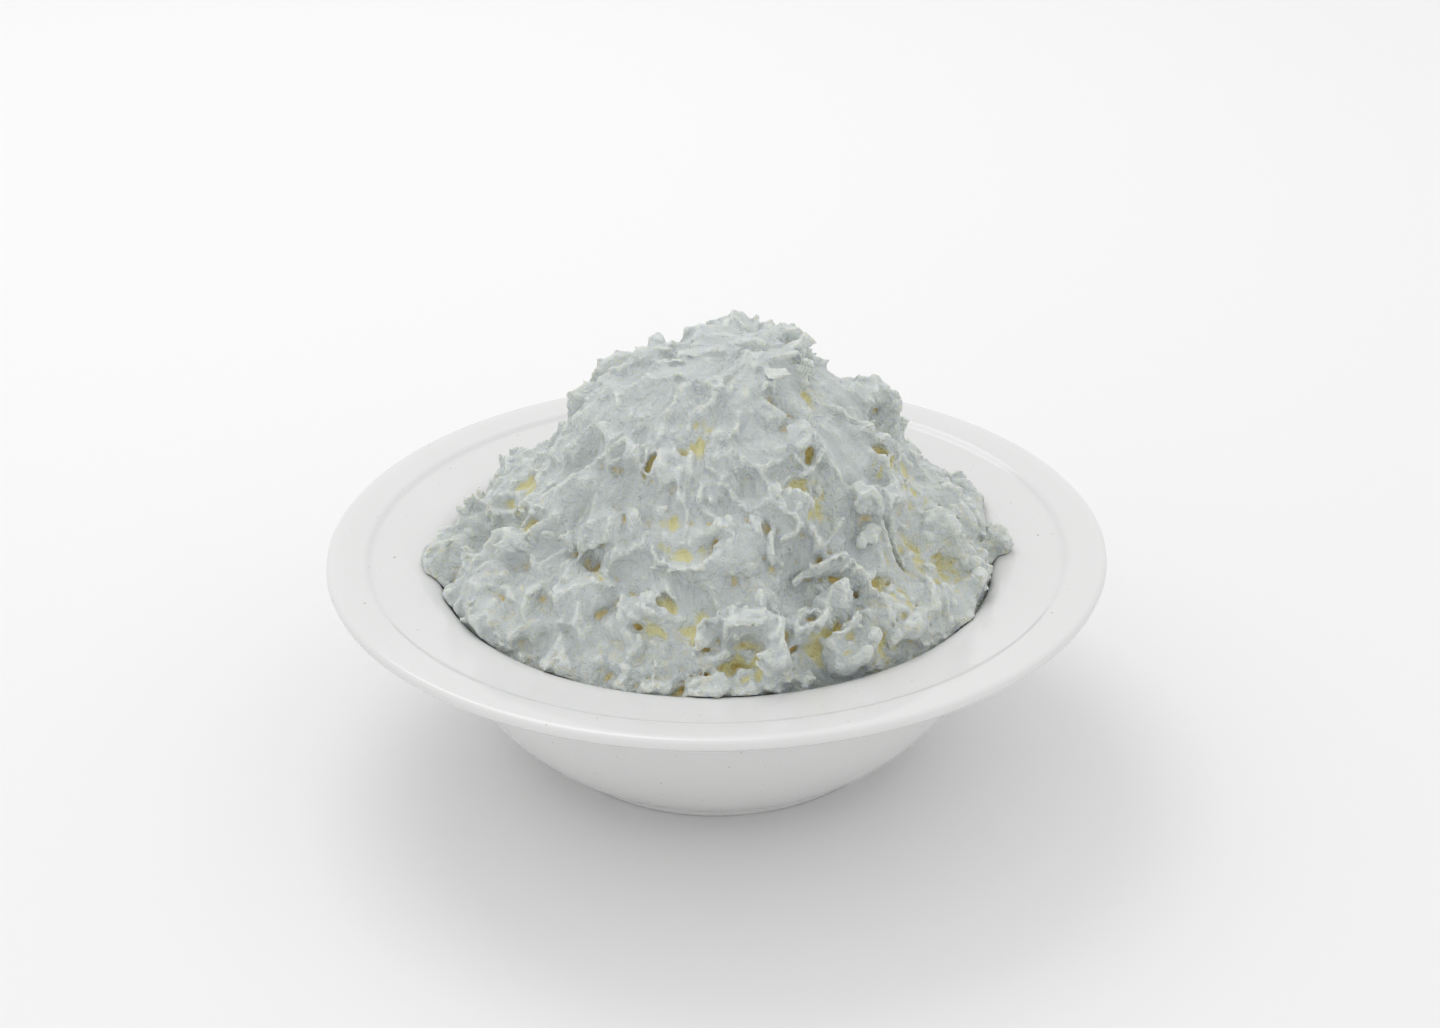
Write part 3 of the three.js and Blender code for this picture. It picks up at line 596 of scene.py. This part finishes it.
def keep_largest(points, quads):
    """Only the largest of the separate pieces of a mesh: loose scraps are left out"""
    label = np.arange(len(points))
    while True:
        low = label[quads].min(1)
        lower = label.copy()
        for corner in range(4):
            np.minimum.at(lower, quads[:, corner], low)
        lower = lower[lower]
        if (lower == label).all():
            break
        label = lower
    values, counts = np.unique(label, return_counts=True)
    keep = label == values[counts.argmax()]
    return points[keep], (np.cumsum(keep) - 1)[quads[keep[quads[:, 0]]]]


def sample(values, axes, points):
    """The grid's values at points, between the grid's points"""
    at = [np.clip((points[:, a] - axes[a][0]) / CELL, 0, len(axes[a]) - 1.001) for a in range(3)]
    low = [np.floor(value).astype(int) for value in at]
    part = [value - base for value, base in zip(at, low)]
    result = np.zeros(len(points))
    for corner in np.ndindex(2, 2, 2):
        weight = np.prod([part[a] if corner[a] else 1 - part[a] for a in range(3)], axis=0)
        result += weight * values[tuple(low[a] + corner[a] for a in range(3))]
    return result


def nearest(values, axes, points):
    """The values at the grid points nearest to points"""
    at = [np.rint((points[:, a] - axes[a][0]) / CELL).astype(int) for a in range(3)]
    return values[tuple(np.clip(at[a], 0, len(axes[a]) - 1) for a in range(3))]


def cream_share(points):
    """Where the labneh is creamier: 1 in the middle of each place and 0 away from them"""
    share = np.zeros(len(points))
    for angle, height, reach in CREAM_PLACES:
        middle = ellipsoid("place", angle, height, (1, 1, 1))["centre"]
        share = np.maximum(share, 1 - ((points - middle)**2).sum(1) / reach**2)
    return np.sqrt(share)


def mesh_object(name, points, faces):
    mesh = bpy.data.meshes.new(name)
    sides = faces.shape[1]
    mesh.vertices.add(len(points))
    mesh.vertices.foreach_set("co", (points * MM).ravel())
    mesh.loops.add(faces.size)
    mesh.loops.foreach_set("vertex_index", faces.astype(np.int32).ravel())
    mesh.polygons.add(len(faces))
    mesh.polygons.foreach_set("loop_start", np.arange(0, faces.size, sides, dtype=np.int32))
    mesh.polygons.foreach_set("use_smooth", np.ones(len(faces), bool))
    mesh.update(calc_edges=True)
    piece = bpy.data.objects.new(name, mesh)
    bpy.context.scene.collection.objects.link(piece)
    return piece


def heap_attributes(points, inside, axes, crumbly, fan):
    """What the material reads at each point: how much labneh is near, the crumbly share, the streak
    coordinate and where it is unbroken, and the cream"""
    near_fill = sample(blur(blur(inside, FILL_REACH), FILL_REACH), axes, points)
    crumbs = sample(crumbly, grid_axes(), points)
    streaks = nearest(fan, grid_axes(), points)
    broken = np.abs(sample(fan, grid_axes(), points) - streaks)
    unbroken = np.clip(1.3 - 2 * broken, 0, 1) * (1 - crumbs)
    cream = cream_share(points) * smoothstep(near_fill, 0.45, 0.64)
    return {"near_fill": near_fill, "crumbs": crumbs, "unbroken": unbroken, "streaks": streaks,
            "cream": cream}


def build_labneh():
    axes = grid_axes()
    field, crumbly, fan = heap_field(axes)
    rows = int((GRID_SPLIT - GRID_LOW) / CELL)
    depth = np.arange(GRID_SPLIT - CELL * rows, GRID_SPLIT - CELL / 2, CELL)
    axes = (*axes[:2], np.concatenate([depth, axes[2]]))
    field = np.concatenate([np.full((*field.shape[:2], len(depth)), -CELL, np.float32), field], axis=2)
    field = np.maximum(field, room_field(axes))
    mend(field)
    points, quads = keep_largest(*surface_net(axes, field))
    labneh = mesh_object("labneh_heap", points, quads)
    inside = (field < 0).astype(np.float32)
    for name, values in heap_attributes(points, inside, axes, crumbly, fan).items():
        data = labneh.data.attributes.new(name, "FLOAT", "POINT").data
        data.foreach_set("value", values.astype(np.float32))
    thin = labneh.modifiers.new("thin", "DECIMATE")
    thin.ratio = min(1, HEAP_TRIANGLES / (2 * len(quads)))
    return labneh


def build_bowl():
    """The outline turned about the Z axis, without the flat middles of the underside and the floor"""
    angles = np.arange(TURNED_STEPS) * 2 * pi / TURNED_STEPS
    ring = np.stack([np.cos(angles), np.sin(angles)], 1)
    outline = bowl_outline()[1:-1]
    points = np.concatenate([
        np.concatenate([ring * radius, np.full((TURNED_STEPS, 1), height)], 1) for radius, height in outline])
    rows = np.arange(len(outline) - 1)[:, None] * TURNED_STEPS
    here = np.arange(TURNED_STEPS)
    after = (here + 1) % TURNED_STEPS
    low = [rows + here, rows + after]
    high = [rows + after + TURNED_STEPS, rows + here + TURNED_STEPS]
    faces = np.stack(low + high, 2)
    return mesh_object("glazed_bowl", points, faces.reshape(-1, 4))


class Shader:
    """A material and what adds nodes to it"""

    def __init__(self, name):
        self.material = bpy.data.materials.new(name)
        self.material.use_nodes = True
        self.nodes = self.material.node_tree.nodes
        self.surface = self.nodes["Principled BSDF"]

    def feed(self, socket, value):
        """Sets a socket to a number or a colour, or links an output to it"""
        if isinstance(value, bpy.types.NodeSocket):
            self.material.node_tree.links.new(value, socket)
        elif isinstance(value, tuple):
            socket.default_value = (*value, 1)
        else:
            socket.default_value = value

    def calculate(self, operation, a, b):
        node = self.nodes.new("ShaderNodeMath")
        node.operation = operation
        self.feed(node.inputs[0], a)
        self.feed(node.inputs[1], b)
        return node.outputs["Value"]

    def add(self, a, b):
        return self.calculate("ADD", a, b)

    def subtract(self, a, b):
        return self.calculate("SUBTRACT", a, b)

    def times(self, a, b):
        return self.calculate("MULTIPLY", a, b)

    def ramp(self, value, low, high):
        """value mapped from low..high to 0..1, smoothly"""
        node = self.nodes.new("ShaderNodeMapRange")
        node.interpolation_type = "SMOOTHSTEP"
        node.inputs["From Min"].default_value = low
        node.inputs["From Max"].default_value = high
        self.feed(node.inputs["Value"], value)
        return node.outputs["Result"]

    def over_object(self, kind, size):
        """A texture node over the object, size in millimetres"""
        place = self.nodes.new("ShaderNodeTexCoord")
        node = self.nodes.new(kind)
        node.inputs["Scale"].default_value = 1 / (size * MM)
        self.feed(node.inputs["Vector"], place.outputs["Object"])
        return node

    def grain(self, size, detail=2):
        node = self.over_object("ShaderNodeTexNoise", size)
        node.inputs["Detail"].default_value = detail
        return node.outputs["Fac"]

    def knobs(self, size):
        """The square of the distance from the middle of the nearest of many knobs"""
        node = self.over_object("ShaderNodeTexVoronoi", size)
        return self.calculate("POWER", node.outputs["Distance"], 2)

    def lines(self, coordinate, scale, detail):
        """Noise along one coordinate"""
        node = self.nodes.new("ShaderNodeTexNoise")
        node.noise_dimensions = "1D"
        node.inputs["Scale"].default_value = scale
        node.inputs["Detail"].default_value = detail
        self.feed(node.inputs["W"], coordinate)
        return node.outputs["Fac"]

    def attribute(self, name):
        node = self.nodes.new("ShaderNodeAttribute")
        node.attribute_name = name
        return node.outputs["Fac"]

    def tint(self, share, first, second):
        """first where share is 0, and second where it is 1"""
        node = self.nodes.new("ShaderNodeMix")
        node.data_type = "RGBA"
        self.feed(node.inputs[0], share)
        self.feed(node.inputs[6], first)
        self.feed(node.inputs[7], second)
        return node.outputs[2]

    def relief(self, height, distance):
        """Bumps the surface, distance in millimetres"""
        node = self.nodes.new("ShaderNodeBump")
        node.inputs["Strength"].default_value = 1
        node.inputs["Distance"].default_value = distance * MM
        self.feed(node.inputs["Height"], height)
        self.feed(self.surface.inputs["Normal"], node.outputs["Normal"])


def labneh_material():
    """Off-white and faintly green, with a painted highlight that makes crests and thin edges paler; cream
    between the knobs and in the cream places, and yellow in the deepest hollows, with streaks where it was
    swept, knobs and a fine grain"""
    shader = Shader("labneh")
    surface = shader.surface
    surface.inputs["Roughness"].default_value = 0.5
    surface.inputs["Subsurface Weight"].default_value = 1
    surface.inputs["Subsurface Radius"].default_value = (1, 0.9, 0.6)
    surface.inputs["Subsurface Scale"].default_value = 0.8 * MM

    streaks = shader.lines(shader.attribute("streaks"), 0.9, 2)
    streaks = shader.times(streaks, shader.attribute("unbroken"))
    between = shader.add(shader.knobs(2.1), shader.times(shader.knobs(1), 0.5))
    between = shader.times(between, shader.add(shader.attribute("crumbs"), 0.12))
    coarse = shader.subtract(shader.times(streaks, 2.2), shader.times(between, 1.5))
    shader.relief(shader.add(shader.times(shader.grain(0.55), 1.1), coarse), 0.45)

    near_fill = shader.attribute("near_fill")
    patchy = shader.times(shader.grain(5), 0.8)
    # edge is a painted highlight: the colour is made paler where little labneh is near, on crests and thin
    # edges, in place of light catching them
    edge = shader.ramp(near_fill, 0.46, 0.34)
    crease = shader.ramp(between, 0.5, 1.1)
    cream = shader.ramp(shader.add(shader.attribute("cream"), patchy), 0.55, 1.15)
    hollow = shader.ramp(shader.add(near_fill, shader.times(patchy, 0.3)), 0.76, 0.96)
    colour = shader.tint(shader.grain(6), (0.57, 0.61, 0.602), (0.6, 0.635, 0.622))
    # the first tint is the painted highlight on crests; the others are the labneh's own cream and yellow
    for share, over in ((edge, (0.68, 0.715, 0.695)), (crease, (0.64, 0.645, 0.55)),
                        (cream, (0.67, 0.64, 0.36)), (hollow, (0.74, 0.61, 0.26))):
        colour = shader.tint(share, colour, over)
    shader.feed(surface.inputs["Base Color"], colour)
    return shader.material


def glaze_material():
    """A glossy white glaze, a little uneven, with a few dark specks"""
    shader = Shader("glaze")
    colour = shader.tint(shader.grain(40), (0.715, 0.715, 0.71), (0.75, 0.75, 0.747))
    specks = shader.ramp(shader.grain(1.1, 0), 0.86, 0.88)
    shader.feed(shader.surface.inputs["Base Color"], shader.tint(specks, colour, (0.45, 0.42, 0.38)))
    shader.surface.inputs["Roughness"].default_value = 0.14
    shader.relief(shader.grain(14), 0.12)
    return shader.material


def floor_material():
    shader = Shader("floor")
    shader.surface.inputs["Base Color"].default_value = (0.84, 0.84, 0.84, 1)
    shader.surface.inputs["Roughness"].default_value = 0.6
    return shader.material


labneh = build_labneh()
labneh.data.materials.append(labneh_material())
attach(labneh, "root")
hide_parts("labneh")

bowl = build_bowl()
bowl.data.materials.append(glaze_material())
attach(bowl, "root")
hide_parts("bowl")

FLOOR_HALF = 3000
floor_corners = FLOOR_HALF * np.array([(-1, -1, 0), (1, -1, 0), (1, 1, 0), (-1, 1, 0)], float)
floor = mesh_object("floor", floor_corners, np.array([[0, 1, 2, 3]]))
floor.data.materials.append(floor_material())

# Light, in metres: a pale sky and one large soft lamp over the back of the bowl, aimed at its middle
LAMP_PLACE = Vector((-0.35, 0.75, 1.3))
LAMP_AIM = Vector((0, 0, 0.06))
scene = bpy.context.scene
world = bpy.data.worlds.new("sky")
scene.world = world
world.use_nodes = True
sky = world.node_tree.nodes["Background"]
sky.inputs["Color"].default_value = (1, 1, 1, 1)
sky.inputs["Strength"].default_value = 0.95
lamp = bpy.data.lights.new("lamp", "AREA")
lamp.size = 0.8
lamp.energy = 4.2
lamp_object = bpy.data.objects.new("lamp", lamp)
lamp_object.location = LAMP_PLACE
lamp_object.rotation_euler = (LAMP_AIM - LAMP_PLACE).to_track_quat("-Z", "Y").to_euler()
scene.collection.objects.link(lamp_object)
scene.view_settings.view_transform = "Standard"

# Camera: where the photograph was taken from, aimed near the middle of the rim
RIM_MIDDLE = Vector((0, 0, 0.065))
CAMERA_ELEVATION = radians(27.3156)
CAMERA_DISTANCE = 0.7138
AIM_RIGHT, AIM_UP, ROLL = 0.0016585, 0.008986, -0.01106251
away = Vector((0, -cos(CAMERA_ELEVATION), sin(CAMERA_ELEVATION)))
right = Vector((1, 0, 0))
forward = (-away + right * AIM_RIGHT + right.cross(-away) * AIM_UP).normalized()
right = forward.cross(Vector((0, 0, 1))).normalized()
up = right.cross(forward)
turned_right = right * cos(ROLL) + up * sin(ROLL)
turned_up = up * cos(ROLL) - right * sin(ROLL)
placed = Matrix((turned_right, turned_up, -forward)).transposed().to_4x4()
placed.translation = RIM_MIDDLE + away * CAMERA_DISTANCE
camera = bpy.data.cameras.new("camera")
camera.lens = 60
camera.sensor_width = 36
camera_object = bpy.data.objects.new("camera", camera)
camera_object.matrix_world = placed
scene.collection.objects.link(camera_object)
scene.camera = camera_object
